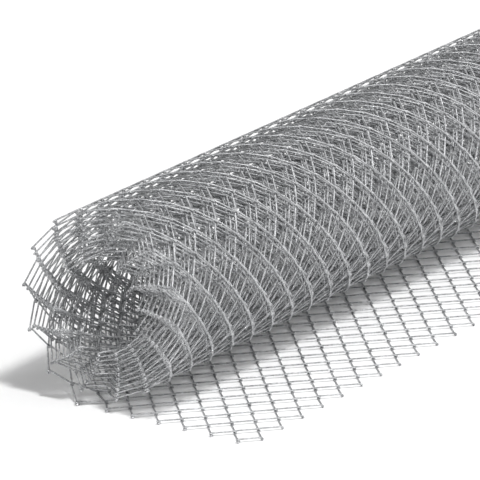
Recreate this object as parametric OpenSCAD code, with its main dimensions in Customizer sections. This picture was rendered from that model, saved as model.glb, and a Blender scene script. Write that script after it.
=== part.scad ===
// Roll of galvanised chain-link fencing, lying on its side with its loose end flat on the floor.
// Millimetres. X runs along the roll, the loose end lies toward -Y, Z is up.
// The origin is on the floor, under the middle of the whole part.

/* [Fabric] */
// Wire thickness
wire_d = 3.55; // [2.5:0.05:4.5]
// Length of a diamond along the roll, one turn of a picket wire
picket_pitch = 75; // [66:1:84]
// Spacing of the picket wires, half a diamond across
picket_width = 32; // [28:1:36]
// Diamonds along the roll, from selvage to selvage
diamonds = 24; // [12:1:26]
// Clear height between the upper and lower legs of a picket wire
loft = 1.9; // [0.5:0.1:3]
// Play between hooked wires
hook_play = 0.3; // [0.2:0.05:0.5]

/* [Roll] */
// Outside of the wound turns
roll_d = 417; // [400:1:450]
// Bore through the middle of the roll
bore_d = 174; // [150:1:190]
// Turns that show on the ends
turns = 10; // [7:1:10]
// Depth of the gap between turns at each end
end_depth = 20; // [8:1:35]

/* [Loose end] */
// Picket wires that lie flat on the floor
loose_pickets = 12; // [6:2:12]
// Gap between the wound turns and the wires under them
seat_gap = 0.3; // [0.1:0.05:0.5]

/* [Hidden] */
// Sides of a wire, and the turn of its section that suits upper and lower legs alike
wire_sides = 6;
section_turn = 15;
// Steps of the end gap in one turn, and the share of the last turn that it leaves closed
spiral_steps = 24;
closed_steps = 6;
wire_r = wire_d / 2;
wire_reach = wire_r * cos(section_turn);
low_z = wire_reach;
high_z = low_z + wire_d + loft;
fabric_t = high_z + wire_reach;
half_pitch = picket_pitch / 2;
roll_len = diamonds * picket_pitch;
turn_pitch = (roll_d - bore_d) / 2 / turns;
turn_gap = turn_pitch - fabric_t;
// Overlap of neighbouring wires that leaves the play between their parallel legs
hook_pass = wire_d + hook_play;
pass_sq = hook_pass * hook_pass;
run_sq = half_pitch * half_pitch - pass_sq;
leg_sq = half_pitch * half_pitch + picket_width * picket_width;
hook_root = sqrt(pass_sq * picket_width * picket_width + run_sq * leg_sq);
hook_overlap = (pass_sq * picket_width + hook_pass * hook_root) / run_sq;
leg_side = picket_width + hook_overlap;
leg_len = norm([half_pitch, leg_side]);
// Bends of one wire, with two rings of points at each
bends = 2 * diamonds + 1;
wire_points = 2 * bends * wire_sides;
half_pickets = loose_pickets / 2;
// Middle of the roll's axis
edge_reach = (loose_pickets - 1) * picket_width + leg_side / 2 + wire_r * cos(180 / wire_sides);
axis_y = (edge_reach - roll_d / 2) / 2;
axis_z = fabric_t + seat_gap + roll_d / 2;

// One side of the gap between turns, from the bore outward
function gap_side(inset) = [
    for (i = [0 : (turns - 1) * spiral_steps - closed_steps])
        let (a = -i * 360 / spiral_steps)
        let (r = bore_d / 2 + fabric_t + inset + i * turn_pitch / spiral_steps)
        [r * cos(a), r * sin(a)]
];

function reversed(list) = [for (i = [len(list) - 1 : -1 : 0]) list[i]];

// Every wound turn of the fabric, with the gap between the turns open at both ends
module rolled_turns() {
    color("silver")
    translate([0, axis_y, axis_z])
    difference() {
        rotate([0, 90, 0])
            rotate_extrude($fn = 96)
                translate([bore_d / 2, -roll_len / 2])
                    square([(roll_d - bore_d) / 2, roll_len]);
        for (x = [-roll_len / 2, roll_len / 2 - end_depth])
            translate([x, 0, 0])
                rotate([90, 0, 90])
                    linear_extrude(height = end_depth)
                        polygon(concat(gap_side(0), reversed(gap_side(turn_gap))));
    }
}

// Lower legs run up the sheet toward the roll, upper legs run back toward its free edge
low_leg = [half_pitch, leg_side, 0] / leg_len;
high_leg = [half_pitch, -leg_side, 0] / leg_len;
low_across = [-low_leg[1], low_leg[0], 0];
high_across = [-high_leg[1], high_leg[0], 0];
up = [0, 0, 1];

// Six points round a centre, spread by two vectors of the ring's slanted plane
function ring(centre, first, second) = [
    for (k = [0 : wire_sides - 1])
        let (a = section_turn + k * 360 / wire_sides)
        centre + wire_r * (cos(a) * first + sin(a) * second)
];

// The two rings of a bend on the roll's side, where the wire climbs from lower leg to upper leg.
// The section turns over once in each diamond, so flip changes sign from one diamond to the next.
function climb(x, y, flip) = concat(
    ring([x, y, low_z], flip * low_across, flip * (low_leg - up)),
    ring([x, y, high_z], flip * (up - high_leg), flip * high_across)
);

// The two rings of a bend on the free edge's side, where the wire drops back to the lower leg
function drop(x, y, flip) = concat(
    ring([x, y, high_z], flip * (high_leg + up), flip * high_across),
    ring([x, y, low_z], -flip * low_across, flip * (up + low_leg))
);

// All the points of one picket wire, bend after bend along the roll, for wire j from the free edge
function wire(j) = [
    for (i = [0 : bends - 1])
        let (x = i * half_pitch - roll_len / 2)
        let (y = axis_y - (loose_pickets - 1 - j) * picket_width)
        let (flip = floor((i + j) / 2) % 2 == 0 ? 1 : -1)
        each (i + j) % 2 == 0 ? climb(x, y + leg_side / 2, flip) : drop(x, y - leg_side / 2, flip)
];

// Faces of the wire whose points begin at a given place in the list
function wire_faces(start) = concat(
    [[for (k = [wire_sides - 1 : -1 : 0]) start + k]],
    [
        for (m = [0 : 2 * bends - 2])
            for (k = [0 : wire_sides - 1])
                let (a = start + m * wire_sides)
                let (n = (k + 1) % wire_sides)
                [a + k, a + n, a + wire_sides + n, a + wire_sides + k]
    ],
    [[for (k = [0 : wire_sides - 1]) start + wire_points - wire_sides + k]]
);

// Hooked picket wires of the loose end, counted from its free edge, the last one under the roll's axis
module picket_wires(first, count) {
    color("lightgrey")
    polyhedron(
        points = [for (j = [first : first + count - 1]) each wire(j)],
        faces = [for (n = [0 : count - 1]) each wire_faces(n * wire_points)],
        convexity = 4
    );
}

module loose_end_near_roll() {
    picket_wires(half_pickets, half_pickets);
}

module loose_end_outer() {
    picket_wires(0, half_pickets);
}

rolled_turns();
loose_end_near_roll();
loose_end_outer();
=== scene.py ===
"""Roll of galvanised chain-link fencing: its wound wires, its loose end and a plain stage.

Every picket wire is a flattened spiral. It runs along the roll from selvage to selvage and hooks
through the wires beside it. Lengths are in metres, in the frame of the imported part.
"""

import math

import bpy
import numpy as np
from bpy.props import FloatProperty, FloatVectorProperty, IntProperty, PointerProperty
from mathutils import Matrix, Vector


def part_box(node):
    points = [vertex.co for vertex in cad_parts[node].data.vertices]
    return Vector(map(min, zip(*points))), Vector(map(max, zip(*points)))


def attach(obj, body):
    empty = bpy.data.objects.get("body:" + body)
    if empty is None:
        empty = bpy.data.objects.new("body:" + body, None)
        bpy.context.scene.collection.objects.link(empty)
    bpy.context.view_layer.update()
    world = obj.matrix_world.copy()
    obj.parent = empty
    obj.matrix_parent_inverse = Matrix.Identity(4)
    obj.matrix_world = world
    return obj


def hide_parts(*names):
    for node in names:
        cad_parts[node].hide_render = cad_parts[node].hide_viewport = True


bl_info = {
    "name": "Chain-Link Fencing Roll",
    "version": (1, 0, 0),
    "blender": (4, 5, 0),
    "location": "3D View > Sidebar > Fencing Roll",
    "description": "Weaves a roll of chain-link fencing with its loose end and sets a plain stage",
    "category": "Object",
}

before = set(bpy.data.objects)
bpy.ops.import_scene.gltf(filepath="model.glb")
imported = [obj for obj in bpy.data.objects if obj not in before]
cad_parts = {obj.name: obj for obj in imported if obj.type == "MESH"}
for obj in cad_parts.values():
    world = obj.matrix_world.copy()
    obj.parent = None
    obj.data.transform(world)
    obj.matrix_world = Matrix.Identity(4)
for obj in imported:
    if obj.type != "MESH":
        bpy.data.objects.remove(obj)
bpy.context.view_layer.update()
ROLL_LOW, ROLL_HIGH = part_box("rolled_turns")
ROLL_MIDDLE = (ROLL_LOW + ROLL_HIGH) / 2

# Round the lowest point, as far as this angle, the floor can stop the slack of the outer turn
FLOOR_REACH = 1.0
# Edges of a wire's cut ends stay sharp past this angle
SHARP_ANGLE = math.radians(80)

# Shares of the patches, the crystals and the runs in the dulling of the zinc
PATCH_SHARE = 0.62
CRYSTAL_SHARE = 0.3
RUN_SHARE = 0.08
# Dulling at which the zinc begins to darken, and how quickly it does so
DULL_START = 0.3
DULL_GAIN = 2.2
# Runs for each crystal, and how the two raise the coat
RUNS_PER_CRYSTAL = 2.5
CRYSTAL_HEIGHT = 0.5
BUMP_STRENGTH = 0.25
BUMP_DEPTH = 0.0003

# Traces of unevenness in the floor
CLOUD_SCALE = 0.7
CLOUD_SHARE = 0.02
CLOUD_COLOUR = (0.9, 0.9, 0.9)
FLOOR_ROUGHNESS = 0.9

SKY_COLOUR = (1.0, 1.0, 1.0)
# Width of the camera's sensor in millimetres, and how far it sees
SENSOR_WIDTH = 36.0
VIEW_REACH = 200.0


class FencingFabric(bpy.types.PropertyGroup):
    """Sizes of the woven fabric."""

    wire_d: FloatProperty(
        name="Wire Thickness",
        description="Thickness of the galvanised wire",
        default=0.00355,
        min=0.0015,
        max=0.006,
        subtype="DISTANCE",
        unit="LENGTH",
    )
    loft: FloatProperty(
        name="Loft",
        description="Clear height between the inner and outer legs of a picket wire",
        default=0.0019,
        min=0.0002,
        max=0.006,
        subtype="DISTANCE",
        unit="LENGTH",
    )
    picket_width: FloatProperty(
        name="Picket Width",
        description="Spacing of the picket wires where the fabric lies flat",
        default=0.032,
        min=0.01,
        max=0.08,
        subtype="DISTANCE",
        unit="LENGTH",
    )
    diamonds: IntProperty(
        name="Diamonds",
        description="Diamonds along the roll, from selvage to selvage",
        default=24,
        min=2,
        max=60,
    )
    bend_run: FloatProperty(
        name="Bend Run",
        description="How far a wire moves along the roll while it passes round a bend",
        default=0.0041,
        min=0.001,
        max=0.02,
        subtype="DISTANCE",
        unit="LENGTH",
    )
    knuckle_wrap: FloatProperty(
        name="Knuckle Wrap",
        description="How far each cut end wraps on round its partner at the selvage",
        default=math.radians(70),
        min=0.0,
        max=math.tau,
        subtype="ANGLE",
        unit="ROTATION",
    )
    fine_sides: IntProperty(
        name="Fine Sides",
        description="Sides of a wire that shows on the outside",
        default=8,
        min=6,
        max=8,
    )
    fine_rings: IntProperty(
        name="Fine Rings",
        description="Rings round each bend of a wire that shows on the outside",
        default=5,
        min=4,
        max=5,
    )
    plain_sides: IntProperty(
        name="Plain Sides",
        description="Sides of a wire inside the roll",
        default=6,
        min=4,
        max=6,
    )
    plain_rings: IntProperty(
        name="Plain Rings",
        description="Rings round each bend of a wire inside the roll",
        default=4,
        min=3,
        max=4,
    )


class FencingWinding(bpy.types.PropertyGroup):
    """How the fabric is wound up, from its free edge on the floor to the bore."""

    loose_pickets: IntProperty(
        name="Loose Pickets",
        description="Picket wires that lie flat on the floor",
        default=12,
        min=2,
        max=40,
    )
    wound_pickets: IntProperty(
        name="Wound Pickets",
        description="Picket wires in the wound turns",
        default=281,
        min=10,
        max=400,
    )
    picket_angle: FloatProperty(
        name="Picket Angle",
        description="Angle that each wound picket takes up round the axis",
        default=math.radians(12.8),
        subtype="ANGLE",
        unit="ROTATION",
    )
    lift_angle: FloatProperty(
        name="Lift Angle",
        description="Angle past the lowest point at which the first wound picket begins",
        default=math.radians(4.3),
        subtype="ANGLE",
        unit="ROTATION",
    )
    slack: FloatProperty(
        name="Slack",
        description="How far the outer turn would sag away under the roll if the floor didn't stop it",
        default=0.064,
        subtype="DISTANCE",
        unit="LENGTH",
    )
    slack_angle: FloatProperty(
        name="Slack Angle",
        description="Angle over which the slack falls to about a third",
        default=math.radians(26),
        subtype="ANGLE",
        unit="ROTATION",
    )
    slack_lag: FloatProperty(
        name="Slack Lag",
        description="How far the slack pickets lie behind their even spacing",
        default=math.radians(4),
        subtype="ANGLE",
        unit="ROTATION",
    )
    settled_angle: FloatProperty(
        name="Settled Angle",
        description="Angle at which the outer turn has drawn in and the even winding begins",
        default=math.radians(100),
        subtype="ANGLE",
        unit="ROTATION",
    )
    tight_r: FloatProperty(
        name="Tight Radius",
        description="Mean radius of the outer turn where it has drawn in, to the middle of the fabric",
        default=0.196,
        subtype="DISTANCE",
        unit="LENGTH",
    )
    oval: FloatProperty(
        name="Oval",
        description="How much the outer turn stands taller, and lies narrower, than its mean radius",
        default=0.0057,
        subtype="DISTANCE",
        unit="LENGTH",
    )
    turn_pitch: FloatProperty(
        name="Turn Pitch",
        description="Spacing of the turns from one to the next",
        default=0.0103,
        subtype="DISTANCE",
        unit="LENGTH",
    )
    wander: FloatProperty(
        name="Wander",
        description="How far the hook lines of the inner turns stray round the axis along the roll",
        default=math.radians(6),
        subtype="ANGLE",
        unit="ROTATION",
    )
    wander_turns: FloatProperty(
        name="Wander Turns",
        description="Turns over which the straying goes to one side, to the other and back",
        default=2.7,
        min=0.5,
    )
    wander_run: FloatProperty(
        name="Wander Run",
        description="Distance from each end of the roll over which the straying sets in",
        default=0.2,
        min=0.01,
        subtype="DISTANCE",
        unit="LENGTH",
    )
    axis_offset: FloatVectorProperty(
        name="Axis Offset",
        description="Place of the outer turn's axis from the middle of the turned solid",
        default=(0.0, -0.0055, 0.0062),
        subtype="TRANSLATION",
        unit="LENGTH",
        size=3,
    )
    fine_pickets: IntProperty(
        name="Fine Pickets",
        description="Picket wires of the outer turns that have the rounder wire",
        default=42,
        min=1,
        max=45,
    )
    inner_groups: IntProperty(
        name="Inner Groups",
        description="Meshes that the remaining wound wires are joined into",
        default=4,
        min=4,
        max=12,
    )


class FencingFinish(bpy.types.PropertyGroup):
    """Looks of the zinc coat."""

    zinc_light: FloatVectorProperty(
        name="Light Zinc",
        description="Zinc where it is brightest",
        default=(0.77, 0.775, 0.785),
        min=0.0,
        max=1.0,
        subtype="COLOR",
        size=3,
    )
    zinc_dark: FloatVectorProperty(
        name="Dark Zinc",
        description="Zinc where it has dulled",
        default=(0.28, 0.285, 0.295),
        min=0.0,
        max=1.0,
        subtype="COLOR",
        size=3,
    )
    spangle: FloatProperty(
        name="Spangle",
        description="Size of the crystals in the zinc",
        default=0.0022,
        subtype="DISTANCE",
        unit="LENGTH",
    )
    patch: FloatProperty(
        name="Patch",
        description="Size of the patches where the zinc has dulled",
        default=0.035,
        subtype="DISTANCE",
        unit="LENGTH",
    )
    smooth: FloatProperty(
        name="Smooth",
        description="Roughness of bright zinc",
        default=0.6,
        min=0.0,
        max=1.0,
    )
    dulling: FloatProperty(
        name="Dulling",
        description="Roughness that dull patches add",
        default=0.15,
        min=0.0,
        max=1.0,
    )


class FencingStage(bpy.types.PropertyGroup):
    """Camera, lamps and floor."""

    azimuth: FloatProperty(
        name="Azimuth",
        description="Direction that the camera stands in, from the roll's own front",
        default=math.radians(-56.58),
        subtype="ANGLE",
        unit="ROTATION",
    )
    elevation: FloatProperty(
        name="Elevation",
        description="Angle of the camera above the floor",
        default=math.radians(18.42),
        subtype="ANGLE",
        unit="ROTATION",
    )
    distance: FloatProperty(
        name="Distance",
        description="From the camera to the point that it looks at",
        default=10.263,
        subtype="DISTANCE",
        unit="LENGTH",
    )
    aim: FloatVectorProperty(
        name="Aim",
        description="Point that the camera looks at, from the middle of the turned solid's near end",
        default=(0.5185, 0.0019, 0.004),
        subtype="TRANSLATION",
        unit="LENGTH",
        size=3,
    )
    lens: FloatProperty(
        name="Lens",
        description="Focal length in millimetres",
        default=365.65,
    )
    floor_size: FloatProperty(
        name="Floor Size",
        description="Side of the floor",
        default=90.0,
        subtype="DISTANCE",
        unit="LENGTH",
    )
    floor_colour: FloatVectorProperty(
        name="Floor Colour",
        description="Colour of the floor",
        default=(0.96, 0.96, 0.96),
        min=0.0,
        max=1.0,
        subtype="COLOR",
        size=3,
    )
    floor_lift: FloatProperty(
        name="Floor Lift",
        description="How much whiter the floor looks than the light on it makes it",
        default=0.03,
        min=0.0,
        max=1.0,
    )
    sun_strength: FloatProperty(
        name="Sun Strength",
        description="Strength of the key light",
        default=2.0,
        min=0.0,
    )
    sun_spread: FloatProperty(
        name="Sun Spread",
        description="Width of the key light, which softens the shadows",
        default=math.radians(8),
        subtype="ANGLE",
        unit="ROTATION",
    )
    sun_source: FloatVectorProperty(
        name="Sun Source",
        description="Direction that the key light comes from",
        default=(-0.1, -0.4, 0.91),
        subtype="DIRECTION",
        size=3,
    )
    side_strength: FloatProperty(
        name="Side Strength",
        description="Strength of the light on the near end",
        default=1.2,
        min=0.0,
    )
    side_spread: FloatProperty(
        name="Side Spread",
        description="Width of the light on the near end",
        default=math.radians(35),
        subtype="ANGLE",
        unit="ROTATION",
    )
    side_source: FloatVectorProperty(
        name="Side Source",
        description="Direction that the light on the near end comes from",
        default=(-0.75, 0.2, 0.63),
        subtype="DIRECTION",
        size=3,
    )
    glow: FloatProperty(
        name="Glow",
        description="Strength of the bright side of the surroundings",
        default=1.8,
        min=0.0,
    )
    glow_source: FloatVectorProperty(
        name="Glow Source",
        description="Direction of the bright side of the surroundings",
        default=(0.5, -0.68, 0.54),
        subtype="DIRECTION",
        size=3,
    )
    glow_focus: FloatProperty(
        name="Glow Focus",
        description="How closely the bright side gathers round its direction",
        default=4.0,
        min=1.0,
    )
    gloom: FloatProperty(
        name="Gloom",
        description="Strength of the dark side of the surroundings",
        default=0.02,
        min=0.0,
    )


class FencingRoll(bpy.types.PropertyGroup):
    """All the settings of the roll."""

    fabric: PointerProperty(type=FencingFabric)
    winding: PointerProperty(type=FencingWinding)
    finish: PointerProperty(type=FencingFinish)
    stage: PointerProperty(type=FencingStage)


class Shade:
    """A node's socket that takes part in Python expressions, which add its Math nodes."""

    def __init__(self, tree, socket):
        self.tree = tree
        self.socket = socket

    @classmethod
    def node(cls, tree, kind, settings=None, sockets=None, output=0):
        """Adds a node: its settings come first, then the values or links of its sockets."""
        made = tree.nodes.new(kind)
        for key, value in (settings or {}).items():
            setattr(made, key, value)
        for key, value in (sockets or {}).items():
            if isinstance(value, cls):
                tree.links.new(value.socket, made.inputs[key])
            else:
                made.inputs[key].default_value = value
        return cls(tree, made.outputs[output]) if made.outputs else None

    def maths(self, operation, first, second=0.0):
        return self.node(self.tree, "ShaderNodeMath", {"operation": operation}, {0: first, 1: second})

    def __add__(self, other):
        return self.maths("ADD", self, other)

    def __radd__(self, other):
        return self.maths("ADD", other, self)

    def __sub__(self, other):
        return self.maths("SUBTRACT", self, other)

    def __rsub__(self, other):
        return self.maths("SUBTRACT", other, self)

    def __mul__(self, other):
        return self.maths("MULTIPLY", self, other)

    def __rmul__(self, other):
        return self.maths("MULTIPLY", other, self)

    def __pow__(self, other):
        return self.maths("POWER", self, other)


def colour(rgb):
    """A colour property as the four numbers of a colour socket."""
    return (*rgb, 1.0)


def mix_colours(tree, factor, first, second):
    """One colour laid over another by a factor."""
    return Shade.node(
        tree,
        "ShaderNodeMix",
        {"data_type": "RGBA", "clamp_factor": True},
        {0: factor, 6: first, 7: second},
        output=2,
    )


def new_material(name):
    """An empty node material and its node tree."""
    material = bpy.data.materials.new(name)
    material.use_nodes = True
    material.node_tree.nodes.clear()
    return material, material.node_tree


def zinc_material(name, finish):
    """Dull hot-dip zinc: fine crystals, duller patches and a slightly uneven coat."""
    material, tree = new_material(name)
    place = Shade.node(tree, "ShaderNodeTexCoord", output="Object")
    patches = Shade.node(
        tree,
        "ShaderNodeTexNoise",
        sockets={"Vector": place, "Scale": 1 / finish.patch, "Detail": 4.0, "Roughness": 0.6},
    )
    crystals = Shade.node(
        tree,
        "ShaderNodeTexVoronoi",
        {"feature": "F1"},
        {"Vector": place, "Scale": 1 / finish.spangle},
        output="Color",
    )
    crystal = Shade.node(tree, "ShaderNodeSeparateColor", sockets={0: crystals})
    runs = Shade.node(
        tree,
        "ShaderNodeTexNoise",
        sockets={"Vector": place, "Scale": RUNS_PER_CRYSTAL / finish.spangle, "Detail": 2.0},
    )
    dull = PATCH_SHARE * patches + CRYSTAL_SHARE * crystal + RUN_SHARE * runs
    darkened = (dull - DULL_START) * DULL_GAIN
    zinc = mix_colours(tree, darkened, colour(finish.zinc_light), colour(finish.zinc_dark))
    bump = Shade.node(
        tree,
        "ShaderNodeBump",
        sockets={
            "Strength": BUMP_STRENGTH,
            "Distance": BUMP_DEPTH,
            "Height": runs + CRYSTAL_HEIGHT * crystal,
        },
    )
    shader = Shade.node(
        tree,
        "ShaderNodeBsdfPrincipled",
        sockets={
            "Base Color": zinc,
            "Metallic": 1.0,
            "Roughness": finish.smooth + finish.dulling * dull,
            "Normal": bump,
        },
    )
    Shade.node(tree, "ShaderNodeOutputMaterial", sockets={"Surface": shader})
    return material


def floor_material(stage):
    """Matt pale floor with a trace of unevenness."""
    material, tree = new_material("pale_floor")
    place = Shade.node(tree, "ShaderNodeTexCoord", output="Object")
    cloud = Shade.node(tree, "ShaderNodeTexNoise", sockets={"Vector": place, "Scale": CLOUD_SCALE})
    tint = mix_colours(tree, CLOUD_SHARE * cloud, colour(stage.floor_colour), colour(CLOUD_COLOUR))
    rays = ("Is Camera Ray", "Is Glossy Ray", "Is Transmission Ray")
    seen = sum(Shade.node(tree, "ShaderNodeLightPath", output=ray) for ray in rays)
    shader = Shade.node(
        tree,
        "ShaderNodeBsdfPrincipled",
        sockets={
            "Base Color": tint,
            "Roughness": FLOOR_ROUGHNESS,
            "Specular IOR Level": 0.0,
            "Emission Color": stage.floor_lift * seen,
            "Emission Strength": 1.0,
        },
    )
    Shade.node(tree, "ShaderNodeOutputMaterial", sockets={"Surface": shader})
    return material


def hook_lines(lines, x, settings):
    """Y and Z of the lines that neighbouring wires hook along, counted from the free edge.

    The lines go down the rows of the result and the places along the roll go across them.
    """
    fabric, winding = settings.fabric, settings.winding
    half_thick = fabric.wire_d + fabric.loft / 2
    lines = np.asarray(lines, float)[:, None]
    flat_y = ROLL_MIDDLE.y + (lines - winding.loose_pickets + 0.5) * fabric.picket_width
    even = winding.lift_angle + (lines - winding.loose_pickets) * winding.picket_angle
    drawn = np.clip(even / winding.settled_angle, 0, 1)
    turned = even - winding.slack_lag * np.sin(math.pi * drawn) ** 2

    # The outer turn keeps straight, and the turns inside it stray once they are clear of the ends
    inside = np.clip(turned / math.tau - 1, 0, 1)
    from_ends = np.minimum(x - ROLL_LOW.x, ROLL_HIGH.x - x)
    set_in = 1 - np.exp(-from_ends / winding.wander_run)
    turned = turned + winding.wander * inside * set_in * np.sin(turned / winding.wander_turns)

    # The outer turn is oval and off the axis, and the bore is round and on it
    even_turn = np.clip(turned - winding.settled_angle, 0, None)
    inner_end = winding.lift_angle + winding.wound_pickets * winding.picket_angle
    shape = 1 - np.clip(even_turn / (inner_end - winding.settled_angle), 0, 1)
    axis_y = ROLL_MIDDLE.y + winding.axis_offset[1] * shape
    axis_z = ROLL_MIDDLE.z + winding.axis_offset[2] * shape
    wound = even_turn / math.tau * winding.turn_pitch
    sag = winding.slack * np.exp(-np.clip(turned, 0, None) / winding.slack_angle)
    radius = winding.tight_r + winding.oval * shape * np.cos(2 * turned) - wound + sag

    # The floor stops the slack on both sides of the lowest point
    on_floor = (axis_z - half_thick) / np.cos(np.clip(turned, -FLOOR_REACH, FLOOR_REACH))
    radius = np.where(turned < FLOOR_REACH, np.minimum(radius, on_floor), radius)
    loose = lines < winding.loose_pickets
    y = np.where(loose, flat_y, axis_y + radius * np.sin(turned))
    z = np.where(loose, half_thick, axis_z - radius * np.cos(turned))
    return np.stack([y, z], 2)


def bend_stations(diamonds, bend_rings, wrap):
    """Bend number and angle of every ring of a wire, with the wrapped ends at both selvages."""
    bends = 2 * diamonds + 1
    angles = np.linspace(-math.pi / 2, math.pi / 2, bend_rings)
    bend = np.repeat(np.arange(bends), bend_rings)
    angle = np.tile(angles, bends)
    end_rings = math.ceil(wrap / (angles[1] - angles[0]))
    extra = math.pi / 2 + wrap * np.arange(1, end_rings + 1) / end_rings
    bend = np.concatenate([np.zeros(end_rings), bend, np.full(end_rings, bends - 1)])
    angle = np.concatenate([-extra[::-1], angle, extra])
    return bend, angle


def wire_mesh(name, first, count, sides, bend_rings, settings):
    """One mesh of several picket wires, the first of them counted from the free edge.

    A wire passes along the outer face of the fabric to the next hook line, round a bend to the
    inner face, back along it and round another bend, and moves on along the roll all the while.
    """
    fabric = settings.fabric
    wire_r = fabric.wire_d / 2
    bend_r = wire_r + fabric.loft / 2
    half_pitch = (ROLL_HIGH.x - ROLL_LOW.x) / fabric.diamonds / 2
    bend, angle = bend_stations(fabric.diamonds, bend_rings, fabric.knuckle_wrap)
    rings = len(bend)
    bend_x = ROLL_LOW.x + bend * half_pitch
    lines = hook_lines(np.arange(first, first + count + 1), bend_x, settings)
    across = lines[1:] - lines[:-1]
    across /= np.linalg.norm(across, axis=2, keepdims=True)
    inward = np.stack([-across[..., 1], across[..., 0]], 2)

    # Even bends of even wires lie on the roll's side, odd ones on the free edge's side
    wire = np.arange(first, first + count)[:, None]
    side = np.where((bend + wire) % 2 == 0, 1.0, -1.0)
    hook = np.where(side[..., None] > 0, lines[1:], lines[:-1])
    cos, sin = np.cos(angle)[None, :, None], np.sin(angle)[None, :, None]
    outward = side[..., None] * (cos * across + sin * inward)

    run = fabric.bend_run / math.pi
    x = np.broadcast_to(bend_x + angle * run, side.shape)
    centre = np.concatenate([x[..., None], hook + bend_r * outward], 2)
    normal = np.concatenate([np.zeros((count, rings, 1)), outward], 2)
    steps = centre[:, 1:] - centre[:, :-1]
    steps /= np.linalg.norm(steps, axis=2, keepdims=True)
    tangent = np.concatenate([steps[:, :1], steps[:, 1:] + steps[:, :-1], steps[:, -1:]], 1)
    tangent /= np.linalg.norm(tangent, axis=2, keepdims=True)
    normal -= tangent * np.sum(normal * tangent, axis=2, keepdims=True)
    normal /= np.linalg.norm(normal, axis=2, keepdims=True)
    binormal = np.cross(tangent, normal)
    around = np.arange(sides) / sides * math.tau
    points = (
        centre[:, :, None]
        + wire_r * np.cos(around)[:, None] * normal[:, :, None]
        + wire_r * np.sin(around)[:, None] * binormal[:, :, None]
    )

    start = np.arange(count)[:, None, None] * rings * sides
    ring = np.arange(rings - 1)[None, :, None] * sides
    here = np.arange(sides)
    there = (here + 1) % sides
    corners = (here, there, sides + there, sides + here)
    quads = np.stack([start + ring + corner for corner in corners], 3).reshape(-1, 4)
    caps = np.concatenate([start[:, 0] + here[::-1], start[:, 0] + (rings - 1) * sides + here])
    mesh = bpy.data.meshes.new(name)
    mesh.from_pydata(points.reshape(-1, 3), [], quads.tolist() + caps.tolist())
    mesh.shade_smooth()
    mesh.set_sharp_from_angle(angle=SHARP_ANGLE)
    return mesh


def add_wires(name, node, material, mesh):
    """Puts a mesh of wires in the scene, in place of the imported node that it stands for."""
    mesh.materials.append(material)
    piece = bpy.data.objects.new(name, mesh)
    bpy.context.scene.collection.objects.link(piece)
    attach(piece, "root")
    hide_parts(node)
    return piece


class FENCING_OT_loose_end(bpy.types.Operator):
    """Weave the picket wires that lie flat on the floor"""

    bl_idname = "fencing.loose_end"
    bl_label = "Loose End"

    def execute(self, context):
        settings = context.scene.fencing_roll
        fabric = settings.fabric
        half = settings.winding.loose_pickets // 2
        material = zinc_material("galvanised_wire", settings.finish)
        for node, first in (("loose_end_outer", 0), ("loose_end_near_roll", half)):
            name = node + "_wires"
            mesh = wire_mesh(name, first, half, fabric.fine_sides, fabric.fine_rings, settings)
            add_wires(name, node, material, mesh)
        return {"FINISHED"}


class FENCING_OT_wound_turns(bpy.types.Operator):
    """Weave and wind up all the turns of the roll"""

    bl_idname = "fencing.wound_turns"
    bl_label = "Wound Turns"

    def execute(self, context):
        settings = context.scene.fencing_roll
        fabric, winding = settings.fabric, settings.winding
        material = zinc_material("galvanised_fabric", settings.finish)
        first = winding.loose_pickets
        last = first + winding.wound_pickets
        outer = winding.fine_pickets
        inner = math.ceil((last - first - outer) / winding.inner_groups)
        spans = [(first, outer, fabric.fine_sides, fabric.fine_rings)]
        for start in range(first + outer, last, inner):
            spans.append((start, min(inner, last - start), fabric.plain_sides, fabric.plain_rings))
        for number, (start, count, sides, bend_rings) in enumerate(spans, 1):
            name = "rolled_turns_wires_%d" % number
            mesh = wire_mesh(name, start, count, sides, bend_rings, settings)
            add_wires(name, "rolled_turns", material, mesh)
        return {"FINISHED"}


def add_sun(name, strength, spread, source):
    """A light that comes from one direction."""
    lamp = bpy.data.lights.new(name, "SUN")
    lamp.energy = strength
    lamp.angle = spread
    holder = bpy.data.objects.new(name, lamp)
    holder.rotation_euler = Vector(source).to_track_quat("Z", "Y").to_euler()
    bpy.context.scene.collection.objects.link(holder)


def add_world(stage):
    """Soft surroundings, bright on one side and dark behind the roll."""
    world = bpy.data.worlds.new("studio")
    world.use_nodes = True
    tree = world.node_tree
    tree.nodes.clear()
    direction = Shade.node(tree, "ShaderNodeTexCoord", output="Generated")
    facing = Shade.node(
        tree,
        "ShaderNodeVectorMath",
        {"operation": "DOT_PRODUCT"},
        {0: direction, 1: Vector(stage.glow_source).normalized()},
        output="Value",
    )
    lit = facing.maths("MAXIMUM", facing, 0.0)
    brightness = stage.gloom + stage.glow * lit**stage.glow_focus
    sky = Shade.node(
        tree,
        "ShaderNodeBackground",
        sockets={"Color": colour(SKY_COLOUR), "Strength": brightness},
    )
    Shade.node(tree, "ShaderNodeOutputWorld", sockets={"Surface": sky})
    bpy.context.scene.world = world


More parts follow.
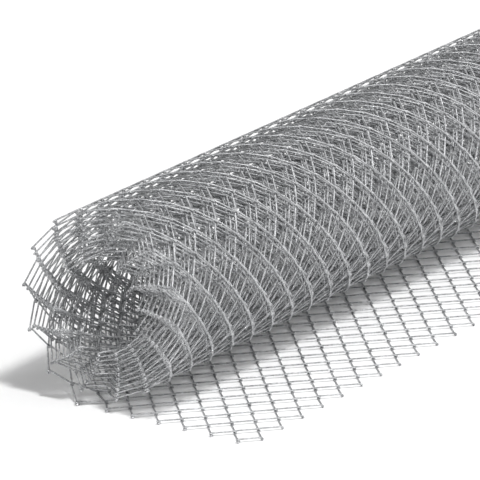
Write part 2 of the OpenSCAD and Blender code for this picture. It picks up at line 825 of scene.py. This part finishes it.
class FENCING_OT_stage(bpy.types.Operator):
    """Set up the floor, the soft light and the camera"""

    bl_idname = "fencing.stage"
    bl_label = "Stage"

    def execute(self, context):
        stage = context.scene.fencing_roll.stage
        half = stage.floor_size / 2
        corners = [(-half, -half, 0), (half, -half, 0), (half, half, 0), (-half, half, 0)]
        mesh = bpy.data.meshes.new("floor")
        mesh.from_pydata(corners, [], [(0, 1, 2, 3)])
        mesh.materials.append(floor_material(stage))
        floor = bpy.data.objects.new("floor", mesh)
        context.scene.collection.objects.link(floor)

        add_world(stage)
        add_sun("key_light", stage.sun_strength, stage.sun_spread, stage.sun_source)
        add_sun("side_light", stage.side_strength, stage.side_spread, stage.side_source)

        lens = bpy.data.cameras.new("camera")
        lens.lens = stage.lens
        lens.sensor_width = SENSOR_WIDTH
        lens.clip_end = VIEW_REACH
        camera = bpy.data.objects.new("camera", lens)
        near_end = Vector((ROLL_LOW.x, ROLL_MIDDLE.y, ROLL_MIDDLE.z))
        level = math.cos(stage.elevation)
        back = Vector(
            (
                math.sin(stage.azimuth) * level,
                -math.cos(stage.azimuth) * level,
                math.sin(stage.elevation),
            )
        )
        camera.location = near_end + Vector(stage.aim) + back * stage.distance
        camera.rotation_euler = (-back).to_track_quat("-Z", "Y").to_euler()
        context.scene.collection.objects.link(camera)
        context.scene.camera = camera
        context.scene.view_settings.view_transform = "Standard"
        return {"FINISHED"}


class FENCING_PT_roll(bpy.types.Panel):
    """Settings and steps of the fencing roll"""

    bl_label = "Fencing Roll"
    bl_space_type = "VIEW_3D"
    bl_region_type = "UI"
    bl_category = "Fencing Roll"

    def draw(self, context):
        settings = context.scene.fencing_roll
        groups = (settings.fabric, settings.winding, settings.finish, settings.stage)
        for group in groups:
            column = self.layout.box().column()
            for key in group.bl_rna.properties.keys():
                if key not in ("rna_type", "name"):
                    column.prop(group, key)
        for step in STEPS:
            self.layout.operator(step.bl_idname)


STEPS = (FENCING_OT_loose_end, FENCING_OT_wound_turns, FENCING_OT_stage)
CLASSES = (
    FencingFabric,
    FencingWinding,
    FencingFinish,
    FencingStage,
    FencingRoll,
    *STEPS,
    FENCING_PT_roll,
)


def register():
    for each in CLASSES:
        bpy.utils.register_class(each)
    bpy.types.Scene.fencing_roll = PointerProperty(type=FencingRoll)


def unregister():
    del bpy.types.Scene.fencing_roll
    for each in reversed(CLASSES):
        bpy.utils.unregister_class(each)


def main():
    register()
    bpy.ops.fencing.loose_end()
    bpy.ops.fencing.wound_turns()
    bpy.ops.fencing.stage()


if __name__ == "__main__":
    main()
